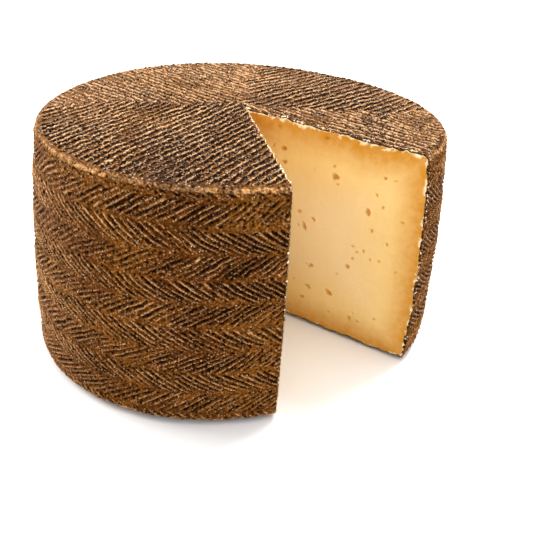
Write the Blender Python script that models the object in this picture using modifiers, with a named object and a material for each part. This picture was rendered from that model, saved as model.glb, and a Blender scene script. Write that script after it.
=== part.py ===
"""A wheel of manchego with an eighth cut out, modelled as one closed solid.

Metres, +Z up, the origin under the middle of the wheel's box. The side carries the
herringbone left by the plaited grass band it was pressed in, the two faces carry the
four fields of ridges left by the press boards, and the two cut walls have small eyes.
"""
import math
import random

import bmesh
import bpy
import numpy as np
from mathutils import Matrix, Vector, noise

# Wheel: the radius and the radius terms are taken at mid-height
RADIUS = 0.100
HEIGHT = 0.114
BULGE = 0.0023            # swell of the side at mid-height
TAPER = 0.0035            # the base is wider than the middle, the top narrower, by this
OVAL = 0.0053             # twice round: the wheel is a little oval
OVAL_TURN = 38.4          # degrees, where it is widest
TRIANGLE = 0.0021         # three times round
TRIANGLE_TURN = -6.2
TOP_SLOPE = (-0.0095, -0.0183)   # rise of the top face along X and along Y
RIM_RADIUS = 0.0048
RIM_ARC = (90.0, 60.0, 25.0)     # degrees round the rim, from the flat face to the side

# Herringbone of the side
RIBS = 120
RIBS_PER_STRAND = 3
ROWS = 10
DEEPEST_ROW = 3
ROW_FADE = 0.3            # share of the depth lost in the row farthest from the deepest
FIRST_ROW = 0.0060        # depth of the first seam below the top
ROW_HEIGHT = 0.01125
STROKE_ANGLE = 33.0       # degrees from level
GROOVE_DEPTH = 0.0013
CREST_WEAR = 0.0003
RIM_LEAN = 0.65           # how much of a row's lean the rim holds

# Ridges of the two faces, in fields that meet near the middle
FIELD_CENTRE = (-0.004, 0.013)
FIELD_SEAMS = (-162.0, -70.0, 5.0, 84.0, 198.0)  # degrees, one turn
RIDGE_ANGLES = (63.0, 143.5, 50.0, 142.0)        # degrees, one for each field
RIDGE_PITCHES = (0.0036, 0.0039, 0.0043, 0.0038)
FURROW_WIDTH = 0.0022
FURROW_DEPTH = 0.0012
FURROW_TAPER = 0.0020     # length of each furrow's sloping end
FURROW_FLARE = 0.6        # how far a furrow's cutter stands out of the face, as a share of its depth
START_TRIM = 0.0015       # how far a furrow may start late, and end early
END_TRIM = 0.0025
SEAM_GAP = 0.0012         # plain strip beside a seam between fields
LIP = 0.0030              # plain strip inside the rim
LIP_FRONT = 0.0040        # how much wider it is at the front
FURROW_STEP = 0.0005
SHORTEST_FURROW = 0.009

# Notch: two straight knife cuts from a point near the middle
NOTCH_POINT = (-0.00095, 0.0066)
FRONT_CUT = -75.5         # degrees, direction of each cut from that point
RIGHT_CUT = -28.9
CUT_LENGTH = 0.102        # from the notch's point to the side
KNIFE_WANDER = 0.0006     # how far the cut walls wave in and out, and over what length
KNIFE_WAVE = 0.035
KNIFE_CELLS = 7
CLEARANCE = 0.010         # how far a cutter runs past what it cuts

# Eyes in the cut walls
EYES_PER_WALL = 24
EYE_RADIUS = (0.0006, 0.0021)
EYE_MARGIN = 0.012        # kept free near the rind and the notch's point
EYE_SPACING = 0.0012
EYE_STRETCH = 1.5         # longest against round
EYE_INWARD = 0.75         # how deep an eye goes, as a share of its radius

SEED = 23
MERGE = 0.00001
COLUMNS = 2 * RIBS
COLUMN_ANGLE = math.tau / COLUMNS
ROW_LEAN = ROW_HEIGHT / math.tan(math.radians(STROKE_ANGLE)) / RADIUS


def clear_scene():
    """Remove what the scene holds, so that the script can run again."""
    for old in list(bpy.data.objects):
        bpy.data.objects.remove(old, do_unlink=True)


def new_collection(name):
    """Make a collection and link it to the scene."""
    made = bpy.data.collections.new(name)
    bpy.context.scene.collection.children.link(made)
    return made


def new_material(name, colour, roughness):
    """Make a plain Principled material."""
    material = bpy.data.materials.new(name)
    material.use_nodes = True
    shader = material.node_tree.nodes["Principled BSDF"]
    shader.inputs["Base Color"].default_value = (*colour, 1.0)
    shader.inputs["Roughness"].default_value = roughness
    shader.inputs["Metallic"].default_value = 0.0
    return material


def side_radius(angle, share):
    """Radius of the side at an angle, at a share of the height from the base up."""
    swell = BULGE * (1 - (2 * share - 1) ** 2) - TAPER * (2 * share - 1)
    oval = OVAL * np.cos(2 * (angle - math.radians(OVAL_TURN)))
    triangle = TRIANGLE * np.cos(3 * (angle - math.radians(TRIANGLE_TURN)))
    return RADIUS + swell + oval + triangle


def face_radius(angle, share):
    """Radius at which a flat face ends and its rounded rim begins."""
    return side_radius(angle, share) - RIM_RADIUS


def top_height(x, y):
    """Height of the sloping top face over a point."""
    return HEIGHT + TOP_SLOPE[0] * x + TOP_SLOPE[1] * y


def side_rings():
    """List the side's rings from the top lip down.

    Each ring has the height share that sets its radius, the inset and the rise that the
    rim's arc gives it, its share of the relief and its share of a row's lean.
    """
    rim_share = RIM_RADIUS / HEIGHT
    rings = []
    for degrees in RIM_ARC:
        arc = math.radians(degrees)
        inset = RIM_RADIUS * (1 - math.cos(arc))
        rise = RIM_RADIUS * math.sin(arc)
        lean = 1 - RIM_LEAN * degrees / RIM_ARC[0]
        rings.append((1 - rim_share, inset, rise, math.cos(arc) ** 2, lean))
    for row in range(ROWS):
        share = 1 - (FIRST_ROW + row * ROW_HEIGHT) / HEIGHT
        strength = 1 - ROW_FADE * abs(row - DEEPEST_ROW) / (ROWS - DEEPEST_ROW)
        rings.append((share, 0.0, 0.0, strength, (row + 1) % 2))
    for degrees in reversed(RIM_ARC):
        arc = math.radians(degrees)
        inset = RIM_RADIUS * (1 - math.cos(arc))
        rise = -RIM_RADIUS * math.sin(arc)
        lean = RIM_LEAN * degrees / RIM_ARC[0]
        rings.append((rim_share, inset, rise, math.cos(arc) ** 2, lean))
    return rings


def turned_blank(rings, collection):
    """Turn the plain profile of the side into a mesh with a Screw modifier."""
    mesh = bpy.data.meshes.new("profile")
    points = []
    for share, inset, rise, _, _ in rings:
        points.append((RADIUS - inset, 0.0, HEIGHT * share + rise))
    edges = [(index, index + 1) for index in range(len(points) - 1)]
    mesh.from_pydata(points, edges, [])
    profile = bpy.data.objects.new("profile", mesh)
    collection.objects.link(profile)
    screw = profile.modifiers.new("turn", "SCREW")
    screw.steps = COLUMNS
    screw.render_steps = COLUMNS
    screw.use_merge_vertices = True
    screw.merge_threshold = MERGE
    bpy.context.view_layer.update()
    depsgraph = bpy.context.evaluated_depsgraph_get()
    turned = bpy.data.meshes.new_from_object(profile.evaluated_get(depsgraph))
    bpy.data.objects.remove(profile, do_unlink=True)
    return turned


def shape_side(mesh, rings):
    """Move the turned vertices out to the wheel's real outline and press in the herringbone."""
    count = len(mesh.vertices)
    flat = np.empty(count * 3)
    mesh.vertices.foreach_get("co", flat)
    places = flat.reshape(count, 3)
    radius = np.hypot(places[:, 0], places[:, 1])
    nominal = np.array([(RADIUS - inset, HEIGHT * share + rise) for share, inset, rise, _, _ in rings])
    distance = np.abs(radius[:, None] - nominal[:, 0]) + np.abs(places[:, 2:3] - nominal[:, 1])
    ring = distance.argmin(axis=1)
    column = np.rint(np.arctan2(places[:, 1], places[:, 0]) / COLUMN_ANGLE).astype(int) % COLUMNS

    share, inset, rise, strength, lean = np.array(rings).T[:, ring]
    draws = np.random.default_rng(SEED).random((len(rings), COLUMNS))[ring, column]
    rib = column // 2
    strand = np.sin(math.pi * (rib % RIBS_PER_STRAND + 0.5) / RIBS_PER_STRAND)
    groove = GROOVE_DEPTH * (0.5 + 0.5 * strand) * (0.65 + 0.35 * draws)
    relief = strength * np.where(column % 2 == 1, groove, CREST_WEAR * draws)

    angle = column * COLUMN_ANGLE + lean * ROW_LEAN
    outward = side_radius(angle, share) - inset - relief
    x = outward * np.cos(angle)
    y = outward * np.sin(angle)
    height = HEIGHT * share + rise
    slope = (top_height(x, y) - HEIGHT) * height / HEIGHT
    mesh.vertices.foreach_set("co", np.stack([x, y, height + slope], axis=1).ravel())


def close_faces(mesh):
    """Fill the open top and bottom with one flat face each."""
    solid = bmesh.new()
    solid.from_mesh(mesh)
    rim_edges = [edge for edge in solid.edges if edge.is_boundary]
    bmesh.ops.holes_fill(solid, edges=rim_edges, sides=0)
    bmesh.ops.recalc_face_normals(solid, faces=solid.faces)
    solid.to_mesh(mesh)
    solid.free()


def field_of(x, y):
    """Tell which field of ridges a point lies in, and how far it is from the seams."""
    across = x - FIELD_CENTRE[0]
    along = y - FIELD_CENTRE[1]
    turn = math.degrees(math.atan2(along, across))
    if turn < FIELD_SEAMS[0]:
        turn += 360.0
    for field in range(len(RIDGE_ANGLES)):
        start, end = FIELD_SEAMS[field], FIELD_SEAMS[field + 1]
        if start <= turn < end:
            nearest = math.radians(min(turn - start, end - turn, 90.0))
            return field, math.hypot(across, along) * math.sin(nearest)
    return None, 0.0


def on_field(x, y, field, share):
    """Tell whether a point of a face belongs to a field, clear of seams and of the lip."""
    found, from_seam = field_of(x, y)
    angle = math.atan2(y, x)
    lip = LIP + LIP_FRONT * max(0.0, -math.sin(angle))
    inside = math.hypot(x, y) < face_radius(angle, share) - lip
    return found == field and from_seam > SEAM_GAP and inside


def furrow_lines(share, draw):
    """List the start and end points of the furrows of one face."""
    lines = []
    reach = 1.3 * RADIUS
    for field, (degrees, pitch) in enumerate(zip(RIDGE_ANGLES, RIDGE_PITCHES)):
        count = int(reach / pitch)
        for number in range(-count, count + 1):
            heading = math.radians(degrees + draw.uniform(-0.3, 0.3))
            forward = (math.cos(heading), math.sin(heading))
            offset = (number + 0.5) * pitch
            run = []
            steps = int(reach / FURROW_STEP)
            for step in range(-steps, steps + 1):
                travel = step * FURROW_STEP
                x = FIELD_CENTRE[0] - forward[1] * offset + forward[0] * travel
                y = FIELD_CENTRE[1] + forward[0] * offset + forward[1] * travel
                if on_field(x, y, field, share):
                    run.append((x, y))
            trim_start = int(draw.uniform(0, START_TRIM) / FURROW_STEP)
            trim_end = int(draw.uniform(0, END_TRIM) / FURROW_STEP)
            run = run[trim_start:len(run) - trim_end]
            if len(run) * FURROW_STEP > SHORTEST_FURROW:
                lines.append((Vector(run[0]), Vector(run[-1])))
    return lines


def add_furrow(solid, start, end, width, depth, top):
    """Add one V-shaped cutter with sloping ends, pointing into the top or the bottom face."""
    length = (end - start).length
    forward = (end - start) / length
    sideways = Vector((-forward.y, forward.x))
    middle = (start + end) / 2
    corners = bmesh.ops.create_cube(solid, size=1.0)["verts"]
    for corner in corners:
        along, across, up = corner.co
        deep = up < 0
        if deep:
            along *= 1 - 2 * FURROW_TAPER / length
            across = 0.0
        spread = across * width * (1 + FURROW_FLARE)
        place = middle + forward * (along * length) + sideways * spread
        into = depth if deep else -FURROW_FLARE * depth
        height = top_height(place.x, place.y) - into if top else into
        corner.co = (place.x, place.y, height)
    bmesh.ops.remove_doubles(solid, verts=corners, dist=MERGE)


def furrow_cutter(name, top, seed, collection, location):
    """Make the cutter that presses all the furrows of one face."""
    draw = random.Random(seed)
    share = 1 - RIM_RADIUS / HEIGHT if top else RIM_RADIUS / HEIGHT
    solid = bmesh.new()
    for start, end in furrow_lines(share, draw):
        width = FURROW_WIDTH * draw.uniform(0.85, 1.1)
        depth = FURROW_DEPTH * draw.uniform(0.75, 1.15)
        add_furrow(solid, start, end, width, depth, top)
    bmesh.ops.recalc_face_normals(solid, faces=solid.faces)
    return finish_cutter(name, solid, collection, location)


def notch_cutter(collection, location):
    """Make the wedge that the knife took out, from a cube warped into an eighth of a turn."""
    solid = bmesh.new()
    bmesh.ops.create_cube(solid, size=1.0)
    bmesh.ops.subdivide_edges(solid, edges=solid.edges, cuts=KNIFE_CELLS, use_grid_fill=True)
    for corner in solid.verts:
        outward, across, up = corner.co + Vector((0.5, 0.5, 0.5))
        reach = outward * (CUT_LENGTH + 2 * CLEARANCE)
        height = up * (HEIGHT + 2 * CLEARANCE) - CLEARANCE
        turn = math.radians(FRONT_CUT + (RIGHT_CUT - FRONT_CUT) * across)
        place = Vector((math.cos(turn), math.sin(turn))) * reach
        on_wall = min(across, 1 - across) < 0.5 / KNIFE_CELLS
        if on_wall and outward > 0:
            waves = noise.noise(Vector((reach, height, across)) / KNIFE_WAVE)
            place += Vector((-math.sin(turn), math.cos(turn))) * KNIFE_WANDER * waves
        corner.co = (NOTCH_POINT[0] + place.x, NOTCH_POINT[1] + place.y, height)
    bmesh.ops.remove_doubles(solid, verts=solid.verts, dist=MERGE)
    bmesh.ops.recalc_face_normals(solid, faces=solid.faces)
    return finish_cutter("notch", solid, collection, location)


def eye_places(draw):
    """Scatter the eyes of one wall, as distance along the cut, height and radius."""
    eyes = []
    while len(eyes) < EYES_PER_WALL:
        radius = EYE_RADIUS[0] + (EYE_RADIUS[1] - EYE_RADIUS[0]) * draw.random() ** 2
        along = draw.uniform(EYE_MARGIN, CUT_LENGTH - EYE_MARGIN)
        height = draw.uniform(EYE_MARGIN, HEIGHT - EYE_MARGIN)
        clear = True
        for other_along, other_height, other_radius in eyes:
            gap = math.hypot(along - other_along, height - other_height)
            if gap < EYE_STRETCH * (radius + other_radius) + EYE_SPACING:
                clear = False
        if clear:
            eyes.append((along, height, radius))
    return eyes


def eye_cutter(collection, location):
    """Make the cutter of all the eyes: uneven balls centred on the two cut walls."""
    draw = random.Random(SEED + 7)
    solid = bmesh.new()
    for degrees in (FRONT_CUT, RIGHT_CUT):
        wall = math.radians(degrees)
        frame = Matrix.Rotation(wall, 4, "Z")
        for along, height, radius in eye_places(draw):
            centre = Matrix.Translation((NOTCH_POINT[0], NOTCH_POINT[1], height))
            slide = Matrix.Translation((along, 0.0, 0.0))
            twist = Matrix.Rotation(draw.uniform(0, math.pi), 4, "Y")
            stretch = draw.uniform(1.0, EYE_STRETCH)
            size = Matrix.Diagonal((radius * stretch, radius * EYE_INWARD, radius / stretch, 1.0))
            placed = centre @ frame @ slide @ twist @ size
            bmesh.ops.create_icosphere(solid, subdivisions=1, radius=1.0, matrix=placed)
    bmesh.ops.recalc_face_normals(solid, faces=solid.faces)
    return finish_cutter("eyes", solid, collection, location)


def finish_cutter(name, solid, collection, location):
    """Turn a bmesh into a cutter object that is neither rendered nor built."""
    mesh = bpy.data.meshes.new(name)
    solid.to_mesh(mesh)
    solid.free()
    cutter = bpy.data.objects.new(name, mesh)
    cutter.location = location
    cutter.hide_render = True
    cutter.display_type = "WIRE"
    collection.objects.link(cutter)
    return cutter


def box_middle(mesh):
    """Middle of a mesh's box in plan."""
    xs = [vertex.co.x for vertex in mesh.vertices]
    ys = [vertex.co.y for vertex in mesh.vertices]
    return (min(xs) + max(xs)) / 2, (min(ys) + max(ys)) / 2


def build():
    """Build the wheel and take the notch, the furrows and the eyes out of it."""
    clear_scene()
    parts = new_collection("manchego")
    cutters = new_collection("cutters")
    rind = new_material("rind", (0.30, 0.15, 0.055), 0.75)
    paste = new_material("paste", (0.83, 0.56, 0.22), 0.5)

    rings = side_rings()
    mesh = turned_blank(rings, parts)
    shape_side(mesh, rings)
    close_faces(mesh)
    mesh.name = "cheese"
    mesh.materials.append(rind)
    mesh.materials.append(paste)
    mesh.shade_smooth()
    mesh.set_sharp_from_angle(angle=math.radians(50))
    cheese = bpy.data.objects.new("cheese", mesh)
    middle_x, middle_y = box_middle(mesh)
    location = Vector((-middle_x, -middle_y, 0.0))
    cheese.location = location
    parts.objects.link(cheese)

    cuts = [
        furrow_cutter("top_furrows", True, SEED + 1, cutters, location),
        furrow_cutter("bottom_furrows", False, SEED + 2, cutters, location),
        notch_cutter(cutters, location),
        eye_cutter(cutters, location),
    ]
    for cutter in cuts:
        if cutter.name in ("notch", "eyes"):
            cutter.data.materials.append(paste)
        cut = cheese.modifiers.new(cutter.name, "BOOLEAN")
        cut.operation = "DIFFERENCE"
        cut.object = cutter
        cut.solver = "EXACT"
        cut.material_mode = "TRANSFER"


build()
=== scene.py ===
# %% [markdown]
# A wheel of pressed sheep's-milk cheese with an eighth cut out.

# %% Load the frame
import math
import random

import bmesh
import bpy
import numpy as np
from mathutils import Matrix, Vector


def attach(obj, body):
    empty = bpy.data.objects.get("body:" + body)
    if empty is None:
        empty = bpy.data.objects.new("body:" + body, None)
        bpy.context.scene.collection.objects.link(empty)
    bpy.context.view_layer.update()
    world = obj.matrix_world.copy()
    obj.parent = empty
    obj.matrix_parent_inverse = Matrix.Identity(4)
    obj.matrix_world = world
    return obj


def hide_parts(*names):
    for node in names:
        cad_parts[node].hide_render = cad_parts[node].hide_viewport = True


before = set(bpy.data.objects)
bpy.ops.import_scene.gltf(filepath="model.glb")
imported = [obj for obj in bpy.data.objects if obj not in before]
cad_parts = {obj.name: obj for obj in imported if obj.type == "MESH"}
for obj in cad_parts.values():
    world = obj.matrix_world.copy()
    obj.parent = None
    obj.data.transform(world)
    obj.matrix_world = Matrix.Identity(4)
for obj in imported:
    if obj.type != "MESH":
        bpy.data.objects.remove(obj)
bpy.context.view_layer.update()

# %% [markdown]
# Every surface here follows the same wheel, so its outline is written once: a drum that
# swells in the middle, leans in towards the top and is a little out of round. It could be
# read back from the solid, but a formula gives any number of points. The values are in
# metres and are the ones that the solid was made from.

# %% The wheel's outline
RADIUS = 0.100
HEIGHT = 0.114
BULGE = 0.0023
TAPER = 0.0035
OVAL = 0.0053
OVAL_TURN = 38.4
TRIANGLE = 0.0021
TRIANGLE_TURN = -6.2
TOP_SLOPE = (-0.0095, -0.0183)
RIM_RADIUS = 0.0048
RIM_SHARE = RIM_RADIUS / HEIGHT


def side_radius(angle, share):
    """Radius of the side at an angle, at a share of the height from the base up."""
    swell = BULGE * (1 - (2 * share - 1) ** 2) - TAPER * (2 * share - 1)
    oval = OVAL * np.cos(2 * (angle - math.radians(OVAL_TURN)))
    triangle = TRIANGLE * np.cos(3 * (angle - math.radians(TRIANGLE_TURN)))
    return RADIUS + swell + oval + triangle


def outline_middle():
    """Middle of the outline's box, which is where the solid has its origin."""
    angle = np.linspace(-math.pi, math.pi, 1441)[:, None]
    share = np.linspace(RIM_SHARE, 1 - RIM_SHARE, 60)[None]
    radius = side_radius(angle, share)
    x = radius * np.cos(angle)
    y = radius * np.sin(angle)
    return np.array([x.min() + x.max(), y.min() + y.max()]) / 2


AXIS = -outline_middle()
print("wheel's axis stands at", AXIS.round(5))

# %% [markdown]
# The knife made two straight cuts that meet near the middle. Columns of points run from
# one cut the long way round to the other, and each column goes from the notch's point out
# over the top, down the side and back under the base. Both cut walls then share their
# edges with the rind exactly.

# %% The notch and the columns
NOTCH_POINT = np.array([-0.00095, 0.0066])
FRONT_CUT = math.radians(-75.5)
RIGHT_CUT = math.radians(-28.9)
CUT_LENGTH = 0.102
GRID = 0.00057            # spacing of the points of the rind


def cut_meets_side(direction):
    """Polar angle at which a cut leaves the side."""
    low, high = 0.0, 2 * RADIUS
    for _ in range(40):
        reach = (low + high) / 2
        x = NOTCH_POINT[0] + reach * math.cos(direction)
        y = NOTCH_POINT[1] + reach * math.sin(direction)
        if math.hypot(x, y) < side_radius(math.atan2(y, x), 0.5):
            low = reach
        else:
            high = reach
    return math.atan2(y, x)


RIND_START = cut_meets_side(RIGHT_CUT)
RIND_END = cut_meets_side(FRONT_CUT) + math.tau
COLUMNS = int((RIND_END - RIND_START) * RADIUS / GRID)
COLUMN_ANGLES = np.linspace(RIND_START, RIND_END, COLUMNS + 1)
print("columns round the wheel", COLUMNS + 1)

# %% [markdown]
# Uneven detail comes from smooth value noise. Blender's noise could be asked point by
# point, but numpy works out a whole surface at once. A hash of its whole coordinates gives
# each lattice point a value, and the eight values round a place are blended.


# %% Noise for whole arrays
HASH_STEPS = (374761393, 668265263, 2147483647, 144269504)
HASH_MIX = 1274126177
HASH_RANGE = 0xFFFFFFFF
HASH_STEP_COUNT = 0xFFFF


def lattice(ix, iy, iz, seed):
    """A fixed pseudo-random value from 0 to 1 for each lattice point."""
    mixed = sum(part * step for part, step in zip((ix, iy, iz, seed), HASH_STEPS)) & HASH_RANGE
    mixed = ((mixed ^ (mixed >> 13)) * HASH_MIX) & HASH_RANGE
    return ((mixed ^ (mixed >> 16)) & HASH_STEP_COUNT) / HASH_STEP_COUNT


def value_noise(x, y, z, size, seed):
    """Smooth noise from -1 to 1 with bumps of about the given size in metres."""
    total = np.zeros(np.broadcast(x, y, z).shape)
    cells = [np.floor(axis / size).astype(np.int64) for axis in (x, y, z)]
    inside = [axis / size - cell for axis, cell in zip((x, y, z), cells)]
    blend = [part * part * (3 - 2 * part) for part in inside]
    for corner in range(8):
        step = ((corner >> 0) & 1, (corner >> 1) & 1, (corner >> 2) & 1)
        weight = 1.0
        for axis in range(3):
            weight = weight * (blend[axis] if step[axis] else 1 - blend[axis])
        point = [cell + move for cell, move in zip(cells, step)]
        total = total + weight * lattice(point[0], point[1], point[2], seed)
    return 2 * total - 1


def smooth(value, low, high):
    """Go from 0 to 1 as the value goes from low to high, with soft ends."""
    share = np.clip((value - low) / (high - low), 0, 1)
    return share * share * (3 - 2 * share)


# %% [markdown]
# The side was pressed in a band of plaited grass. Its marks are rows of slanting strokes
# that lean one way and then the other, like a herringbone. A stroke is a deep groove
# between thin crests, four strokes make a strand, and each one fades at the seams between
# rows. A bump map could fake the marks, but the light rakes over them, so they are real
# relief. It is given as depth below the crests, and lengths along a row are counted
# in ribs, one for each stroke.

# %% Plait marks of the side
RIBS = 152
RIB_ANGLE = math.tau / RIBS
STRAND_RIBS = 4
FIRST_ROW = 0.0060
ROW_HEIGHT = 0.01125
LEAN_ANGLE = math.radians(33.0)
ROW_LEAN = ROW_HEIGHT / math.tan(LEAN_ANGLE) / (RADIUS * RIB_ANGLE)  # in ribs
ROW_SHIFT = 0.37          # ribs by which each row starts further on than the one above
ROW_WANDER = 0.0008       # rows wander this far up and down
FALLING_BOW = 0.26        # ribs by which the strokes of a falling row are bent
RISING_BOW = 0.10
STRAND_TURN = 1.3         # ribs by which strands of one row differ in lean
GROOVE_WIDTH = 0.25       # ribs from a groove's middle to its side
CREST_WIDTH = 0.12        # ribs from a crest's middle to its side
LAND_DEPTH = 0.00045      # the plain land lies this far below the thin crests
STROKE_DEPTH = 0.0015
SEAM_DEPTH = 0.0004
SEAM_WIDTH = 0.0008
MIDDLE_ROW = 3            # this row is pressed in most
WAVE_SIZE = 0.020
WOBBLE_SIZE = 0.0045


def plait_places(x, y, z, angle, below_top):
    """The row, strand and stroke that points of the side lie in, and how far into each."""
    wave = value_noise(x, y, z, WAVE_SIZE, 3)
    wobble = value_noise(x, y, z, WOBBLE_SIZE, 4)
    down = below_top - FIRST_ROW + ROW_WANDER * wave + 0.0003 * wobble
    row = np.floor(down / ROW_HEIGHT).astype(np.int64)
    across = down / ROW_HEIGHT - row
    falling = row % 2 == 1
    sign = np.where(falling, 1.0, -1.0)
    start = np.where(falling, 0.0, ROW_LEAN) + ROW_SHIFT * row
    bow = np.where(falling, FALLING_BOW, RISING_BOW) * np.sin(math.pi * across)
    ribs = angle / RIB_ANGLE - start - sign * ROW_LEAN * across + bow
    ribs = ribs + 0.22 * value_noise(x, y, z, 0.011, 5) + 0.07 * wobble
    strand = np.floor((ribs + 0.4 * row) / STRAND_RIBS).astype(np.int64)
    in_strand = (ribs + 0.4 * row) / STRAND_RIBS - strand
    strand_lean = lattice(strand, row, strand * 0, 10) - 0.5
    ribs = ribs + STRAND_TURN * strand_lean * (across - 0.5)
    stroke = np.floor(ribs).astype(np.int64)
    return row, across, strand, in_strand, stroke, ribs - stroke


def plait_depth(x, y, z, angle, below_top):
    """Depth of the plait marks, and the shares of open groove and of crest, on the side."""
    row, across, strand, in_strand, stroke, phase = plait_places(x, y, z, angle, below_top)
    strand_draw = lattice(strand, row, strand * 0, 7)
    draw = lattice(stroke, row, stroke * 0, 6)

    # Each stroke has its own width, and its own ends near the seams.
    shape = np.exp(-np.abs((phase - 0.5) / (GROOVE_WIDTH + 0.07 * draw)) ** 3.0)
    reach = 0.10 + 0.10 * draw
    start_at = 0.14 * strand_draw - 0.08 + 0.04 * draw
    stop_at = 0.14 * (1 - strand_draw) - 0.08 + 0.04 * draw
    ends = smooth(across, start_at, start_at + reach) * smooth(1 - across, stop_at, stop_at + reach)

    # Strokes, strands, patches and rows are pressed in unevenly, and all fade at the rims.
    bundle = 0.62 + 0.38 * np.sin(math.pi * in_strand) ** 0.6
    patch = smooth(value_noise(x, y, z, 0.026, 8), -0.8, 0.35)
    strong = 1 - 0.035 * np.abs(row - MIDDLE_ROW)
    level = (0.52 + 0.48 * draw) * (0.68 + 0.32 * strand_draw) * bundle
    level = level * (0.74 + 0.26 * patch) * strong
    rim_fade = smooth(below_top, 0.0, 0.0050) * smooth(HEIGHT - below_top, 0.0004, 0.004)
    fade = 0.20 + 0.80 * rim_fade
    groove = shape * (0.28 + 0.72 * ends) * level * fade

    # A thin crest runs between two strokes, and a shallow seam between two rows.
    edge = np.minimum(np.abs(phase - 0.06), np.abs(phase - 1.06))
    crest = np.exp(-(edge / CREST_WIDTH) ** 2) * (0.35 + 0.65 * ends) * fade
    crest = crest * (0.60 + 0.40 * lattice(stroke, row, stroke * 0, 9)) * (0.8 + 0.2 * patch)
    from_seam = np.minimum(across, 1 - across) * ROW_HEIGHT
    seam = np.exp(-(from_seam / SEAM_WIDTH) ** 2) * (0.3 + 0.7 * strand_draw)
    depth = LAND_DEPTH * (1 - crest) + STROKE_DEPTH * groove + SEAM_DEPTH * seam * rim_fade
    return depth, groove, crest


# %% [markdown]
# The two faces were pressed between grooved lids. Their marks lie in four fields that meet
# near the middle. The ridges are thin and a little beaded, the furrows between them are
# wide, and inside the rim a narrow lip stays nearly plain, wider at the front. An array of
# bars could give straight ridges, but a formula bends them and breaks them up as well.

# %% Ridges of the faces
FIELD_CENTRE = np.array([-0.004, 0.013])
FIELD_SEAMS = np.radians([-162.0, -70.0, 5.0, 84.0, 198.0])
RIDGE_ANGLES = np.radians([63.0, 143.5, 50.0, 142.0])
RIDGE_PITCHES = np.array([0.0036, 0.0039, 0.0043, 0.0038])
RIDGE_WIDTH = 0.108       # from a ridge's middle to its side, as a share of the pitch
BEAD_LENGTH = 0.0021
FURROW_DEPTH = 0.0014
LIP = 0.0010
LIP_FRONT = 0.0024        # the lip is wider by this much at the front
TOP_SEED = 21
BASE_SEED = 41


def ridge_places(x, y, seed):
    """The field and ridge nearest to points of a face, and how the points lie to them."""
    across, along = x - FIELD_CENTRE[0], y - FIELD_CENTRE[1]
    wave = value_noise(x, y, 0 * x, 0.022, seed)
    wobble = value_noise(x, y, 0 * x, 0.0040, seed + 1)
    turn = np.arctan2(along, across)
    turn = turn + 0.08 * wave + 0.05 * wobble + 0.12 * value_noise(x, y, 0 * x, 0.0085, seed + 6)
    turn = np.where(turn < FIELD_SEAMS[0], turn + math.tau, turn)
    field = np.clip(np.searchsorted(FIELD_SEAMS, turn) - 1, 0, 3)
    from_seam = np.minimum(turn - FIELD_SEAMS[field], FIELD_SEAMS[field + 1] - turn)
    from_seam = np.hypot(across, along) * np.sin(np.clip(from_seam, 0, math.pi / 2))
    heading = RIDGE_ANGLES[field]
    sideways = -across * np.sin(heading) + along * np.cos(heading)
    forward = across * np.cos(heading) + along * np.sin(heading)
    ridges = sideways / RIDGE_PITCHES[field] + 0.30 * wave + 0.15 * wobble
    number = np.round(ridges).astype(np.int64)
    return field, number, ridges - number, forward, from_seam


def ridge_depth(x, y, from_rim, seed):
    """Depth of the furrows, the share of furrows darkened with painted shade, and the share of ridge, on a
    face.
    """
    field, number, beside, forward, from_seam = ridge_places(x, y, seed)
    draw = lattice(number, field.astype(np.int64), number * 0, seed + 2)
    beads = value_noise(forward + 0.37 * number, number * 1.0, 0 * x, BEAD_LENGTH, seed + 3)
    ridge = np.exp(-(np.abs(beside) / (RIDGE_WIDTH + 0.04 * beads)) ** 2)
    ridge = ridge * (0.78 + 0.17 * draw + 0.28 * beads)
    worn = smooth(value_noise(x, y, 0 * x, 0.012, seed + 7), -0.8, 0.0)
    ridge = np.clip(ridge * (0.60 + 0.40 * worn), 0, 1)

    # The marks fade towards the rim and, less, where two fields meet.
    lip = LIP + LIP_FRONT * np.clip(-np.sin(np.arctan2(y, x)), 0, 1)
    lip = lip * (1 + 0.35 * value_noise(x, y, 0 * x, 0.009, seed + 4))
    rim_fade = smooth(from_rim, -0.0042, lip - 0.0012)
    seam_fade = 0.70 + 0.30 * smooth(from_seam, 0.0, 0.0016)
    marked = rim_fade * seam_fade
    patch = 0.72 + 0.28 * smooth(value_noise(x, y, 0 * x, 0.030, seed + 5), -0.6, 0.4)
    open_furrow = (1 - ridge) * marked * patch
    depth = FURROW_DEPTH * open_furrow + LAND_DEPTH * (1 - marked)

    # Shade is painted along one side of each ridge, in the furrows next to it.
    painted_shade_side = smooth(beside, -0.36, -0.16) * (1 - smooth(beside, -0.13, -0.04))
    return depth, open_furrow * (0.26 + 0.65 * painted_shade_side), ridge * marked


# %% [markdown]
# On top of the marks a natural rind is granular: soft lumps the size of a lentil, grains
# the size of sand, and pinholes. All of it goes inwards, so that the dressed wheel stays
# inside the solid's box.

# %% Grain of the rind
GRAIN_LAYERS = ((0.00022, 0.0065, 11), (0.00017, 0.0017, 12), (0.00014, 0.00105, 13))
PINHOLE_DEPTH = 0.00050
PINHOLE_SIZE = 0.0019


def grain_depth(x, y, z):
    """Depth of lumps, grains and pinholes at points of the rind."""
    total = 0.0
    for depth, size, seed in GRAIN_LAYERS:
        total = total + depth * (1 + value_noise(x, y, z, size, seed))
    return total + PINHOLE_DEPTH * smooth(value_noise(x, y, z, PINHOLE_SIZE, 14), 0.45, 0.80)


# %% [markdown]
# Each piece is a closed body, so a helper makes one from a grid of points. A Solidify
# modifier would double the fine grid. Here only the outer skin is fine, and a coarse inner
# skin a few millimetres behind it, with strips round the edge, closes the body.


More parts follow.
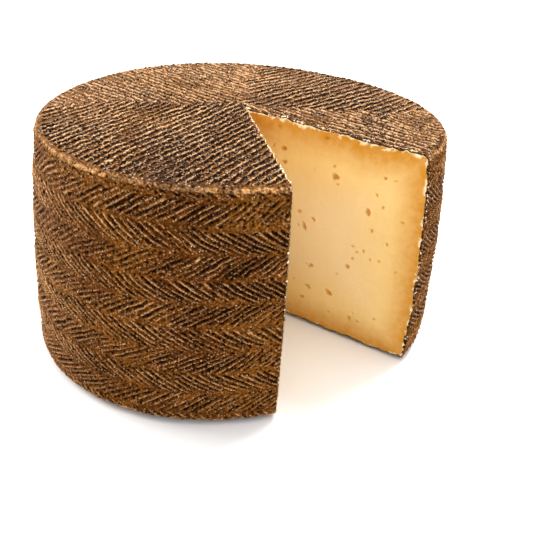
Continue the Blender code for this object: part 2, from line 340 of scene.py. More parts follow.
# %% Make a closed piece from a grid
def mesh_from_arrays(name, points, polygons):
    """Make an object from an array of points and a list of polygon index tuples."""
    mesh = bpy.data.meshes.new(name)
    mesh.from_pydata(points.tolist(), [], polygons)
    mesh.validate()
    made = bpy.data.objects.new(name, mesh)
    bpy.context.scene.collection.objects.link(made)
    return made


def grid_quads(rows, columns):
    """Index tuples of the quads of a grid with that many rows and columns of points."""
    corner = (np.arange(rows - 1)[:, None] * columns + np.arange(columns - 1)[None]).ravel()
    quads = np.stack([corner, corner + 1, corner + columns + 1, corner + columns], axis=1)
    return quads.tolist()


def point_attribute(made, name, values):
    """Store a number for each point of a mesh, for its material to read."""
    attribute = made.data.attributes.new(name, "FLOAT", "POINT")
    full = np.zeros(len(made.data.vertices))
    full[:len(values)] = values
    attribute.data.foreach_set("value", full)


def tidy_body(made):
    """Merge doubles, turn the faces outwards and shade them smooth."""
    body = bmesh.new()
    body.from_mesh(made.data)
    bmesh.ops.remove_doubles(body, verts=body.verts, dist=0.000002)
    bmesh.ops.recalc_face_normals(body, faces=body.faces)
    open_edges = sum(1 for edge in body.edges if not edge.is_manifold)
    body.to_mesh(made.data)
    body.free()
    made.data.shade_smooth()
    triangles = sum(len(face.vertices) - 2 for face in made.data.polygons)
    print(made.name, "triangles", triangles, "open edges", open_edges)


# %% [markdown]
# The side of the rind is two skins, left and right, because one would have too many
# triangles. Their columns go from the lip of the top round the rim, down the side and round
# to the lip of the base. Relief pushes towards the axis on the side and follows the arc
# round the rim, where plait marks blend into face ridges, so no joint shows at the lip.

# %% Side skin
RIM_STEPS = 9
SIDE_STEPS = int((HEIGHT - 2 * RIM_RADIUS) / GRID)
SKIN = 0.0035
LIP_SKIN = 0.0007         # the inner skin stays this far inside the lip
TUCK = 0.0015             # a skin's end steps back this far behind the paste
END_RECESS = 0.022        # angle by which the inner skins stop short of the cuts


def wheel_slope(x, y, height):
    """Extra height that the sloping top gives a point."""
    return (TOP_SLOPE[0] * x + TOP_SLOPE[1] * y) * height / HEIGHT


def side_path():
    """Height share, inset, rise and arc angle of each ring of the side skin, top to base."""
    arcs = np.linspace(math.pi / 2, 0, RIM_STEPS, endpoint=False)
    top = [(1 - RIM_SHARE, RIM_RADIUS * (1 - math.cos(a)), RIM_RADIUS * math.sin(a), a) for a in arcs]
    shares = np.linspace(1 - RIM_SHARE, RIM_SHARE, SIDE_STEPS)
    middle = [(share, 0.0, 0.0, 0.0) for share in shares]
    base = [(RIM_SHARE, inset, -rise, -a) for _, inset, rise, a in reversed(top)]
    return np.array(top + middle + base)


def side_points(angles, path, sink=0.0):
    """Points of the side skin with their relief, and the marks that its finish reads."""
    share, inset, rise, arc = [path[:, index][:, None] for index in range(4)]
    radius = side_radius(angles[None], share) - inset
    height = HEIGHT * share + rise
    x = radius * np.cos(angles[None])
    y = radius * np.sin(angles[None])
    z = height + wheel_slope(x, y, height)
    below_top = HEIGHT - height
    side_marks = plait_depth(x, y, z, angles[None] + 0 * share, below_top)
    face_marks = [np.zeros_like(x) for _ in side_marks]
    for chosen, seed in ((arc[:, 0] > 0.01, TOP_SEED), (arc[:, 0] < -0.01, BASE_SEED)):
        from_rim = (inset - RIM_RADIUS)[chosen] + 0 * x[chosen]
        for whole, part in zip(face_marks, ridge_depth(x[chosen], y[chosen], from_rim, seed)):
            whole[chosen] = part
    side_share = smooth(np.cos(arc), 0.0, 0.75)
    depth, groove, crest = [
        side * side_share + face * (1 - side_share) for side, face in zip(side_marks, face_marks)
    ]
    depth = depth + grain_depth(x, y, z) + sink
    inward = depth * np.cos(arc)
    x = x - inward * np.cos(angles[None])
    y = y - inward * np.sin(angles[None])
    z = z - depth * np.sin(arc)
    places = np.stack([x + AXIS[0], y + AXIS[1], z], axis=2)
    faceward = np.abs(np.sin(arc)) + 0 * x
    return places, {"groove": groove, "crest": crest, "faceward": faceward}


def tuck(direction, side, inward):
    """Step from a cut's edge back into the cheese, and by the given amount out of sight."""
    into_cheese = np.array([side * math.sin(direction), -side * math.cos(direction), 0.0])
    return TUCK * into_cheese + np.array(inward)


def close_end(points, polygons, edge, tail, step):
    """Close one end of a skin. A step leads the end back from the cut before it is closed."""
    if step is None:
        polygons.append(tuple(edge + tail))
        return points
    moved = list(range(len(points), len(points) + len(edge)))
    for k in range(len(edge) - 1):
        polygons.append((edge[k], edge[k + 1], moved[k + 1], moved[k]))
    polygons.append((edge[0], moved[0], tail[-1]))
    polygons.append((edge[-1], tail[0], moved[-1]))
    polygons.append(tuple(moved + tail))
    return np.concatenate([points, points[edge] + step])


def closed_band(name, outer, marks, inner_top, inner_base, steps=(None, None)):
    """Close a band of points with an inner skin of one strip and with edge strips."""
    rows, columns = outer.shape[:2]
    points = np.concatenate([outer.reshape(-1, 3), inner_top, inner_base])
    first = rows * columns
    polygons = grid_quads(rows, columns)
    for j in range(columns - 1):
        upper, lower = first + j, first + columns + j
        polygons.append((upper, upper + 1, j + 1, j))
        last = (rows - 1) * columns + j
        polygons.append((last, last + 1, lower + 1, lower))
        polygons.append((lower, lower + 1, upper + 1, upper))
    for j, step in ((0, steps[0]), (columns - 1, steps[1])):
        edge = [row * columns + j for row in range(rows)]
        points = close_end(points, polygons, edge, [first + columns + j, first + j], step)
    made = mesh_from_arrays(name, points, polygons)
    for label, values in marks.items():
        point_attribute(made, label, values.ravel())
    return made


def drawn_back(angles):
    """Angles of an inner skin, drawn back from the cuts so that it stays behind the paste."""
    return np.clip(angles, RIND_START + END_RECESS, RIND_END - END_RECESS)


def side_tuck(direction, side):
    """Step that leads an end of the side skin behind the paste."""
    return tuck(direction, side, (-TUCK * math.cos(direction), -TUCK * math.sin(direction), 0.0))


path = side_path()
half = COLUMNS // 2
side_skins = []
for name, picked, steps in (
    ("rind_side_right", slice(0, half + 1), (side_tuck(RIGHT_CUT, -1), None)),
    ("rind_side_left", slice(half, None), (None, side_tuck(FRONT_CUT, 1))),
):
    angles = COLUMN_ANGLES[picked]
    outer, marks = side_points(angles, path)
    inner_angles = drawn_back(angles)
    inner_radius = side_radius(inner_angles, 1 - RIM_SHARE) - RIM_RADIUS - LIP_SKIN
    inner = np.stack([inner_radius * np.cos(inner_angles), inner_radius * np.sin(inner_angles)], axis=1)
    upper_z = HEIGHT - SKIN + wheel_slope(inner[:, 0], inner[:, 1], HEIGHT)
    inner_top = np.column_stack([inner + AXIS, upper_z])
    inner_base = np.column_stack([inner + AXIS, np.full(len(angles), SKIN)])
    skin = closed_band(name, outer, marks, inner_top, inner_base, steps)
    tidy_body(skin)
    side_skins.append(skin)

# %% [markdown]
# The top and the base are fans of columns from the notch's point to the lip. A square grid
# would need trimming along the rim, but the last ring of a fan has the points of the side
# skin's first ring, worked out the same way, so the skins meet without a step. A flat sheet
# a few millimetres behind closes each body.

# %% Face skins
TOP_ROWS = 174
BASE_ROWS = 92
HUB_RECESS = 0.006        # the sheet behind a face stops this far behind the notch's point
FACE_TUCK = 0.0010        # and the ends of a face's skin step down or up by this much


def face_points(angles, rows, top):
    """Points of a face with their relief, and the marks that its finish reads."""
    share = 1 - RIM_SHARE if top else RIM_SHARE
    lip_radius = side_radius(angles, share) - RIM_RADIUS
    lip = np.stack([lip_radius * np.cos(angles), lip_radius * np.sin(angles)], axis=1)
    outward = np.linspace(0, 1, rows)[:, None, None]
    plan = NOTCH_POINT + (lip[None] - NOTCH_POINT) * outward
    x, y = plan[..., 0], plan[..., 1]
    plain = HEIGHT if top else 0.0
    z = plain + wheel_slope(x, y, plain)
    from_rim = side_radius(np.arctan2(y, x), share) - RIM_RADIUS - np.hypot(x, y)
    # The faces' furrow share carries the painted shade beside the ridges.
    depth, furrow_and_painted_shade, ridge = ridge_depth(x, y, from_rim, TOP_SEED if top else BASE_SEED)
    depth = depth + grain_depth(x, y, z)
    z = z - depth if top else z + depth
    places = np.stack([x + AXIS[0], y + AXIS[1], z], axis=2)
    return places, {"groove": furrow_and_painted_shade, "crest": ridge, "faceward": np.ones_like(x)}


def closed_fan(name, outer, marks, behind, angles, steps):
    """Close a fan of points with a flat sheet at the height that behind gives."""
    rows, columns = outer.shape[:2]
    lip_radius = np.hypot(outer[-1, :, 0] - AXIS[0], outer[-1, :, 1] - AXIS[1])
    held = drawn_back(angles)
    sheet = np.stack([lip_radius * np.cos(held), lip_radius * np.sin(held)], axis=1) + AXIS
    ring = np.column_stack([sheet, np.full(columns, behind)])
    middle_cut = (FRONT_CUT + RIGHT_CUT) / 2
    away = np.array([math.cos(middle_cut), math.sin(middle_cut)]) * HUB_RECESS
    hub = np.array([[*(NOTCH_POINT + AXIS - away), behind]])
    points = np.concatenate([outer.reshape(-1, 3), ring, hub])
    first = rows * columns
    centre = first + columns
    polygons = grid_quads(rows, columns)
    for j in range(columns - 1):
        last = (rows - 1) * columns + j
        polygons.append((last, last + 1, first + j + 1, first + j))
        polygons.append((first + j, first + j + 1, centre))
    for j, step in ((0, steps[0]), (columns - 1, steps[1])):
        edge = [row * columns + j for row in range(rows)]
        points = close_end(points, polygons, edge, [first + j, centre], step)
    made = mesh_from_arrays(name, points, polygons)
    for label, values in marks.items():
        point_attribute(made, label, values.ravel())
    return made


face_skins = []
down = (0.0, 0.0, -FACE_TUCK)
up = (0.0, 0.0, FACE_TUCK)
for name, picked, rows, top, steps in (
    ("rind_top_right", slice(0, half + 1), TOP_ROWS, True, (tuck(RIGHT_CUT, -1, down), None)),
    ("rind_top_left", slice(half, None), TOP_ROWS, True, (None, tuck(FRONT_CUT, 1, down))),
    ("rind_base", slice(None), BASE_ROWS, False, (tuck(RIGHT_CUT, -1, up), tuck(FRONT_CUT, 1, up))),
):
    outer, marks = face_points(COLUMN_ANGLES[picked], rows, top)
    behind = outer[..., 2].min() - SKIN * 0.5 if top else SKIN
    skin = closed_fan(name, outer, marks, behind, COLUMN_ANGLES[picked], steps)
    tidy_body(skin)
    face_skins.append(skin)

# %% [markdown]
# The cut walls show the paste, with its eyes: round pits where gas made them, long and
# crooked ones where curds didn't quite join. Each wall is a grid that starts at the notch's
# point and ends a ragged half millimetre short of the rind's surface, so the end of the
# rind shows as a thin line round it. Booleans with small balls could cut the eyes, but
# pressing the grid's points in keeps the wall one clean sheet. The larger eyes are those of
# the solid.

# %% Eyes of the paste
SEED = 23
EYES_PER_WALL = 24
EYE_RADIUS = (0.0006, 0.0021)
EYE_MARGIN = 0.012
EYE_SPACING = 0.0012
EYE_STRETCH = 1.5
EYE_DEPTH = 0.75          # depth of the solid's eyes, as a share of their radius
SMALL_EYES = 30           # on each wall
SMALL_EYE_RADIUS = (0.00035, 0.0009)
SMALL_EYE_DEPTH = 0.9
CRACK_SHARE = 0.25        # this share of the small eyes are cracks


def eye_places(draw):
    """The solid's eyes on one wall, as distance along the cut, height and radius."""
    eyes = []
    while len(eyes) < EYES_PER_WALL:
        radius = EYE_RADIUS[0] + (EYE_RADIUS[1] - EYE_RADIUS[0]) * draw.random() ** 2
        along = draw.uniform(EYE_MARGIN, CUT_LENGTH - EYE_MARGIN)
        height = draw.uniform(EYE_MARGIN, HEIGHT - EYE_MARGIN)
        clear = True
        for other_along, other_height, other_radius in eyes:
            gap = math.hypot(along - other_along, height - other_height)
            if gap < EYE_STRETCH * (radius + other_radius) + EYE_SPACING:
                clear = False
        if clear:
            eyes.append((along, height, radius))
    return eyes


def wall_eyes():
    """All eyes of the two walls: along, height, radius, turn, stretch, depth."""
    draw = random.Random(SEED + 7)
    walls = []
    for _ in range(2):
        eyes = []
        for along, height, radius in eye_places(draw):
            turn = draw.uniform(0, math.pi)
            stretch = draw.uniform(1.0, EYE_STRETCH)
            eyes.append((along, height, radius, turn, stretch, radius * EYE_DEPTH))
        walls.append(eyes)
    small = random.Random(SEED + 8)
    for eyes in walls:
        for _ in range(SMALL_EYES):
            radius = small.uniform(*SMALL_EYE_RADIUS)
            crack = small.random() < CRACK_SHARE
            stretch = small.uniform(1.8, 2.6) if crack else small.uniform(1.0, 1.4)
            along = small.uniform(0.006, CUT_LENGTH - 0.007)
            height = small.uniform(0.006, HEIGHT - 0.004)
            turn = small.uniform(0, math.pi)
            eyes.append((along, height, radius, turn, stretch, radius * SMALL_EYE_DEPTH))
    return walls


FRONT_EYES, RIGHT_EYES = wall_eyes()
# The four eyes that show near the top of the right wall: along, height, radius.
SEEN_EYES = ((0.0466, 0.1081, 0.0010), (0.0238, 0.0970, 0.0013),
             (0.0206, 0.1078, 0.0007), (0.0248, 0.0900, 0.0010))
for along, height, radius in SEEN_EYES:
    RIGHT_EYES.append((along, height, radius, 0.4, 1.15, radius))
print("eyes on the two walls", len(FRONT_EYES), len(RIGHT_EYES))

# %% Cut walls
WALL_GRID = 0.00056
WALL_PROUD = 0.00040
RIND_LINE = 0.0005
KNIFE_WAVE = 0.035
PASTE_THICKNESS = 0.004
LINE_SPAN = 9             # points on each side that the rind's line is evened over
EDGE_HEIGHT = 0.11        # height over which the side edge is frayed
WAVE_DEPTH = 0.00015
DRAG_DEPTH = 0.00008
CURD_DEPTH = 0.00006


def ragged_line(along, wall, seed, coarse, fine):
    """Uneven values of about -1.6 to 1.6 along one edge of a wall."""
    line = value_noise(along, 0 * along, 0 * along + wall, coarse, seed)
    return line + 0.6 * value_noise(along, 0 * along, 0 * along + wall, fine, seed + 1)


def cut_outline(angle):
    """The rind's line along a cut: distance from the notch's point and height, in three parts."""
    column = np.array([angle])
    lines = []
    top = face_points(column, TOP_ROWS, True)
    base = face_points(column, BASE_ROWS, False)
    for places, _ in (top, side_points(column, path), base):
        plan = places[:, 0, :2] - AXIS - NOTCH_POINT
        lines.append((np.hypot(plan[:, 0], plan[:, 1]), places[:, 0, 2]))
    return lines


def pressed_eyes(along, z, eyes, seed):
    """How deep the eyes press in each point of a wall, and the share of eye there."""
    pit = np.zeros_like(z)
    eye_share = np.zeros_like(z)
    crooked = value_noise(along, z, 0 * z, 0.0016, seed)
    for eye_along, eye_height, radius, turn, stretch, depth in eyes:
        across = along - eye_along
        up = z - eye_height
        long_way = (across * math.cos(turn) + up * math.sin(turn)) / (radius * stretch)
        short_way = (up * math.cos(turn) - across * math.sin(turn)) / (radius / stretch)
        distance = np.hypot(long_way, short_way) * (1 + 0.22 * crooked)
        bowl = np.sqrt(np.clip(1 - distance ** 2, 0, 1))
        pit = np.maximum(pit, depth * 1.25 * bowl)
        eye_share = np.maximum(eye_share, smooth(1.12 - distance, 0.0, 0.22))
    return pit, eye_share


def wall_grid(direction, side, angle, eyes, rows, columns, seed):
    """Points of one cut wall, the distance to the rind and the eye share at each."""
    heading = np.array([math.cos(direction), math.sin(direction)])
    into_notch = side * np.array([-heading[1], heading[0]])
    (top_reach, top_z), (edge_reach, edge_z), (base_reach, base_z) = cut_outline(angle)
    level = np.linspace(1, 0, rows)
    ragged = ragged_line(level * EDGE_HEIGHT, seed, seed, 0.0030, 0.0011)
    nominal = base_z[-1] + (top_z[-1] - base_z[-1]) * level
    rising = np.maximum.accumulate(edge_z[::-1])
    line = np.interp(nominal, rising, edge_reach[::-1])
    reach = line - RIND_LINE * (1 + 0.45 * ragged)
    span = 2 * LINE_SPAN + 1
    even_line = np.convolve(np.pad(line, LINE_SPAN, mode="edge"), np.ones(span) / span, mode="valid")
    share = np.linspace(0, 1, columns)
    along = reach[:, None] * share[None]
    x = NOTCH_POINT[0] + heading[0] * along
    y = NOTCH_POINT[1] + heading[1] * along
    edge = ragged_line(along, seed, seed + 2, 0.0040, 0.0013)
    top = np.interp(along, top_reach, top_z)
    base = np.interp(along, base_reach, base_z)
    top_line = RIND_LINE * (1 + 0.45 * edge)
    base_line = RIND_LINE * (1 + 0.4 * edge[:, ::-1])
    z = base + base_line + (top - top_line - base - base_line) * level[:, None]

    waves = WAVE_DEPTH * value_noise(along, z, 0 * z, KNIFE_WAVE, seed + 4)
    drag = DRAG_DEPTH * value_noise(along, z * 0.25, 0 * z, 0.0030, seed + 5)
    curd = CURD_DEPTH * value_noise(along, z, 0 * z, 0.0013, seed + 6)
    proud = WALL_PROUD + (waves + drag + curd) * smooth(along, 0.0, 0.004)
    pit, eye_share = pressed_eyes(along, z, eyes, seed + 7)
    proud = proud - pit
    to_rind = np.minimum(np.minimum(z - base + 0.0012, top - z), even_line[:, None] - along + 0.0008)
    points = np.stack([x + AXIS[0] + into_notch[0] * proud, y + AXIS[1] + into_notch[1] * proud, z], axis=2)
    plan = np.stack([x + AXIS[0], y + AXIS[1]], axis=2) - into_notch * PASTE_THICKNESS
    return points, to_rind, eye_share, plan[0], plan[-1]


wall_rows = int(HEIGHT / WALL_GRID)
wall_columns = int(CUT_LENGTH / WALL_GRID)
front = wall_grid(FRONT_CUT, 1, RIND_END, FRONT_EYES, wall_rows, wall_columns, 61)
right = wall_grid(RIGHT_CUT, -1, RIND_START, RIGHT_EYES, wall_rows, wall_columns, 81)


def joined(front_part, right_part):
    """Join the two walls at the notch's point, front wall reversed."""
    return np.concatenate([front_part[:, ::-1], right_part[:, 1:]], axis=1)


wall_points = joined(front[0], right[0])
to_rind = joined(front[1], right[1])
eye_share = joined(front[2], right[2])
corner = wall_columns - 1
into_corner = np.array([math.cos((FRONT_CUT + RIGHT_CUT) / 2), math.sin((FRONT_CUT + RIGHT_CUT) / 2)])
wall_points[:, corner, :2] = NOTCH_POINT + AXIS + into_corner * WALL_PROUD
inner_rings = []
for part, outer_ring, drop in (
    (3, wall_points[0], -PASTE_THICKNESS),
    (4, wall_points[-1], PASTE_THICKNESS),
):
    plan = np.concatenate([front[part][::-1], right[part][1:]])
    plan[corner] = NOTCH_POINT + AXIS - into_corner * PASTE_THICKNESS
    inner_rings.append(np.column_stack([plan, outer_ring[:, 2] + drop]))
paste = closed_band("paste", wall_points, {"eye": eye_share, "to_rind": to_rind}, *inner_rings)
tidy_body(paste)

# %% [markdown]
# Finishes come next. Colours are given as the eye sees them and turned into the linear
# values that a shader needs. Painted images could carry the rind's colours, but procedural
# nodes stay sharp from near and need no seams. Two effects are shared as node groups:
# specks, which scatter small soft dots, and weather, which gives slow patches, fine
# mottling and grit.

# %% Colours and node helpers


def colour(red, green, blue):
    """Turn a screen colour from 0 to 255 into the shader's linear values."""
    linear = []
    for channel in (red, green, blue):
        value = channel / 255
        linear.append(value / 12.92 if value <= 0.04045 else ((value + 0.055) / 1.055) ** 2.4)
    return (*linear, 1.0)


def node(tree, kind, settings=None, **inputs):
    """Add a node, set its properties, and set or link its inputs by name."""
    made = tree.nodes.new(kind)
    for key, value in (settings or {}).items():
        setattr(made, key, value)
    for key, value in inputs.items():
        socket = made.inputs[int(key[1:])] if key[0] == "_" else made.inputs[key.replace("_", " ")]
        if isinstance(value, bpy.types.NodeSocket):
            tree.links.new(value, socket)
        else:
            socket.default_value = value
    return made


def arithmetic(tree, operation, first, second=0.0):
    """Add a math node and return its output."""
    return node(tree, "ShaderNodeMath", {"operation": operation}, _0=first, _1=second).outputs[0]


def ranged(tree, value, low, high, to_low=0.0, to_high=1.0):
    """Map a value smoothly from one range to another."""
    settings = {"interpolation_type": "SMOOTHSTEP"}
    made = node(tree, "ShaderNodeMapRange", settings, Value=value, From_Min=low, From_Max=high,
                To_Min=to_low, To_Max=to_high)
    return made.outputs[0]


def blended(tree, factor, first, second, kind="MIX"):
    """Blend two colours."""
    settings = {"data_type": "RGBA", "blend_type": kind}
    return node(tree, "ShaderNodeMix", settings, _0=factor, _6=first, _7=second).outputs[2]


def noise_at(tree, place, scale, detail=2.0, roughness=0.5):
    """Add a noise texture and return its value."""
    made = node(tree, "ShaderNodeTexNoise", Vector=place, Scale=scale, Detail=detail, Roughness=roughness)
    return made.outputs["Fac"]


def group(name, inputs, outputs):
    """Start a node group with named number inputs and outputs."""
    tree = bpy.data.node_groups.new(name, "ShaderNodeTree")
    tree.interface.new_socket("Place", in_out="INPUT", socket_type="NodeSocketVector")
    for label, default in inputs:
        socket = tree.interface.new_socket(label, in_out="INPUT", socket_type="NodeSocketFloat")
        socket.default_value = default
    for label in outputs:
        tree.interface.new_socket(label, in_out="OUTPUT", socket_type="NodeSocketFloat")
    return tree, tree.nodes.new("NodeGroupInput").outputs, tree.nodes.new("NodeGroupOutput").inputs


def placed_group(tree, made, place, **inputs):
    """Place a node group in a material."""
    return node(tree, "ShaderNodeGroup", {"node_tree": made}, Place=place, **inputs).outputs


# %% Specks and weather
SPECK_INPUTS = [("Scale", 500.0), ("Size", 0.25), ("Share", 0.4)]
speck_group, given, result = group("specks", SPECK_INPUTS, ["Mask"])
cells = node(speck_group, "ShaderNodeTexVoronoi", Vector=given["Place"], Scale=given["Scale"])
chosen = node(speck_group, "ShaderNodeSeparateColor", Color=cells.outputs["Color"]).outputs[0]
keep = arithmetic(speck_group, "LESS_THAN", chosen, given["Share"])
core = arithmetic(speck_group, "MULTIPLY", given["Size"], 0.4)
dot = ranged(speck_group, cells.outputs["Distance"], given["Size"], core)
speck_group.links.new(arithmetic(speck_group, "MULTIPLY", dot, keep), result["Mask"])

WEATHER_INPUTS = [("Patch", 30.0), ("Mottle", 350.0)]
WEATHER_OUTPUTS = ["Patches", "Mottling", "Grit"]
weather_group, given, result = group("weather", WEATHER_INPUTS, WEATHER_OUTPUTS)
patch_noise = noise_at(weather_group, given["Place"], given["Patch"], 3.0, 0.6)
mottle_noise = noise_at(weather_group, given["Place"], given["Mottle"], 3.0, 0.65)
patches = ranged(weather_group, patch_noise, 0.38, 0.62)
mottling = ranged(weather_group, mottle_noise, 0.36, 0.64)
grit_scale = arithmetic(weather_group, "MULTIPLY", given["Mottle"], 2.3)
grit = noise_at(weather_group, given["Place"], grit_scale, 2.0, 0.7)
for label, value in zip(WEATHER_OUTPUTS, (patches, mottling, grit)):
    weather_group.links.new(value, result[label])
print("node groups", [made.name for made in bpy.data.node_groups])

# %% [markdown]
# The rind is darkest in its grooves and tan on its crests, partly by its own colour and partly
# as painted shade in the grooves and painted highlight on the crests. The faces are greyer
# than the side, golden patches lie over the whole rind, the rim is rubbed tan, and the back
# and the left are painted paler and greyer, as painted light where the light falls on them.
# The mesh stores how deep, how raised and how near a face each point is, and the finish reads
# that, so colour and relief agree. Black pinholes and pale specks are finer than the mesh, so
# they are painted and bumped; the pale specks also stand in for glints, as painted highlights.

# %% Rind finish
# The crest and groove tints are partly the rind's own colour and partly painted highlight and painted
# shade.
SIDE_TINTS = {"land": colour(97, 53, 12), "crest": colour(214, 164, 112), "groove": colour(40, 16, 2)}
FACE_TINTS = {"land": colour(79, 50, 30), "crest": colour(214, 168, 122), "groove": colour(30, 12, 1)}
GOLD = colour(138, 85, 24)
RIM_TAN = colour(212, 158, 102)
DUST = colour(198, 160, 124)
# Painted light: a paler, greyer tint for the back and the left, where the light falls.
PAINTED_LIGHT_TINT = colour(131, 91, 57)
PINHOLE = colour(16, 8, 3)
# Pale specks, partly real and partly painted glints.
SPECK_AND_GLINT = colour(206, 160, 112)
FACE_SPECK_AND_GLINT = colour(218, 190, 162)


def numbered(tree, label):
    """Read a number stored on the mesh's points."""
    return node(tree, "ShaderNodeAttribute", {"attribute_name": label}).outputs["Fac"]


def grey(tree, value):
    """Turn a number into a grey colour."""
    return node(tree, "ShaderNodeCombineColor", _0=value, _1=value, _2=value).outputs[0]


def scaled(tree, value, low, high):
    """Map a value from 0 to 1 smoothly to another range."""
    return ranged(tree, value, 0.0, 1.0, low, high)


def rind_masks(tree):
    """What the rind's finish goes by: stored marks, weather, pinholes and specks."""
    place = node(tree, "ShaderNodeTexCoord").outputs["Object"]
    faceward = ranged(tree, numbered(tree, "faceward"), 0.15, 0.95)
    weather = placed_group(tree, weather_group, place, Patch=28.0, Mottle=420.0)
    black = placed_group(tree, speck_group, place, Scale=560.0, Size=0.50,
                         Share=scaled(tree, faceward, 0.48, 0.66))
    # Pale specks, which also stand in for glints as painted highlights.
    speck_and_glint = placed_group(tree, speck_group, place, Scale=780.0, Size=0.46,
                        Share=scaled(tree, faceward, 0.22, 0.36))
    # The back and the left are masked for painted light, a paler and greyer tint.
    across, depth = node(tree, "ShaderNodeSeparateXYZ", Vector=place).outputs[0:2]
    painted_light_back = ranged(tree, depth, -0.03, 0.07)
    painted_light_left = ranged(tree, across, -0.045, -0.100)
    return {
        "groove": numbered(tree, "groove"), "crest": numbered(tree, "crest"), "faceward": faceward,
        "patches": weather["Patches"], "mottling": weather["Mottling"], "grit": weather["Grit"],
        "black": black["Mask"], "speck_and_glint": speck_and_glint["Mask"],
        "away": arithmetic(tree, "MAXIMUM", painted_light_back, painted_light_left),
    }


def marked_tint(tree, masks):
    """Colour of land, crests and grooves, with golden patches and painted light at the back and left."""
    tints = {key: blended(tree, masks["faceward"], SIDE_TINTS[key], FACE_TINTS[key]) for key in SIDE_TINTS}
    uneven = arithmetic(tree, "SUBTRACT", masks["mottling"], 0.5)
    uneven = arithmetic(tree, "MULTIPLY", uneven, 0.30)
    golden = arithmetic(tree, "MULTIPLY", masks["patches"], 0.50)
    tint = blended(tree, golden, tints["land"], GOLD)
    # Painted light: the back and the left turn paler and greyer.
    tint = blended(tree, arithmetic(tree, "MULTIPLY", masks["away"], 0.60), tint, PAINTED_LIGHT_TINT)
    # Crests are lightened, partly as painted highlight, and grooves darkened, partly as painted shade.
    crest_colour_and_highlight = ranged(tree, arithmetic(tree, "ADD", masks["crest"], uneven), 0.15, 0.95)
    tint = blended(tree, crest_colour_and_highlight, tint, tints["crest"])
    groove_colour_and_shade = ranged(tree, arithmetic(tree, "ADD", masks["groove"], uneven), 0.08, 0.54)
    return blended(tree, groove_colour_and_shade, tint, tints["groove"])


def worn_tint(tree, masks, tint):
    """Colour with the rubbed rim, the grit, the dust, the pinholes and the pale specks, which are partly
    painted glints.
    """
    faceward = masks["faceward"]
    past_side = ranged(tree, faceward, 0.02, 0.35)
    before_face = ranged(tree, faceward, 1.0, 0.80)
    in_rim = arithmetic(tree, "MULTIPLY", past_side, before_face)
    in_rim = arithmetic(tree, "MULTIPLY", in_rim, scaled(tree, masks["patches"], 0.55, 1.0))
    tint = blended(tree, arithmetic(tree, "MULTIPLY", in_rim, masks["mottling"]), tint, RIM_TAN)
    shade = ranged(tree, masks["grit"], 0.38, 0.62, 0.55, 1.40)
    tint = blended(tree, 1.0, tint, grey(tree, shade), "MULTIPLY")
    coarse_grit = ranged(tree, masks["grit"], 0.56, 0.70)
    dusty = arithmetic(tree, "MULTIPLY", coarse_grit, scaled(tree, faceward, 0.22, 0.20))
    tint = blended(tree, dusty, tint, DUST)
    in_groove = masks["groove"]
    sunk = arithmetic(tree, "MULTIPLY", masks["black"], ranged(tree, in_groove, 0.0, 0.5, 0.85, 0.97))
    tint = blended(tree, sunk, tint, PINHOLE)
    # Pale specks, partly painted glints.
    speck_and_glint_share = arithmetic(tree, "MULTIPLY", masks["speck_and_glint"], ranged(tree, in_groove, 0.0, 0.5, 0.62, 0.36))
    return blended(tree, speck_and_glint_share, tint, blended(tree, faceward, SPECK_AND_GLINT, FACE_SPECK_AND_GLINT))


def rind_material():
    """Make the rind's finish, which goes from the side's tints to the faces' round the rim."""
    material = bpy.data.materials.new("rind_finish")
    material.use_nodes = True
    tree = material.node_tree
    shader = tree.nodes["Principled BSDF"]
    masks = rind_masks(tree)
    tint = worn_tint(tree, masks, marked_tint(tree, masks))
    tree.links.new(tint, shader.inputs["Base Color"])
    tree.links.new(scaled(tree, masks["mottling"], 0.55, 0.80), shader.inputs["Roughness"])
    lumps = arithmetic(tree, "MULTIPLY", masks["mottling"], 0.8)
    height = arithmetic(tree, "ADD", masks["grit"], lumps)
    height = arithmetic(tree, "SUBTRACT", height, arithmetic(tree, "MULTIPLY", masks["black"], 1.2))
    height = arithmetic(tree, "ADD", height, arithmetic(tree, "MULTIPLY", masks["speck_and_glint"], 0.8))
    bump = node(tree, "ShaderNodeBump", Strength=0.85, Distance=0.00035, Height=height)
    tree.links.new(bump.outputs["Normal"], shader.inputs["Normal"])
    shader.inputs["Specular IOR Level"].default_value = 0.02
    return material


rind_finish = rind_material()
for skin in side_skins + face_skins:
    skin.data.materials.append(rind_finish)

# %% [markdown]
# The paste is ivory in the middle and golden under the rind, where it dried most, and a pale
# crumbly crust frays its edge. Each point stores how far it lies from the rind, because a
# plain gradient couldn't follow the rounded outline. Light goes a little way into the paste.
# The eyes are more golden, because light is caught in them.

# %% Paste finish
IVORY = colour(230, 206, 162)
CREAM = colour(228, 195, 126)
DRIED_GOLD = colour(192, 128, 2)
# Painted light and shade inside the eyes: darker and more golden.
EYE_PAINTED_LIGHTING = colour(206, 144, 10)
CRUST_PALE = colour(242, 220, 176)
CURD_PALE = colour(240, 210, 166)
GOLD_REACH = 0.021        # the golden tint fades out this far from the rind
IVORY_FROM = 0.014
IVORY_TO = 0.045


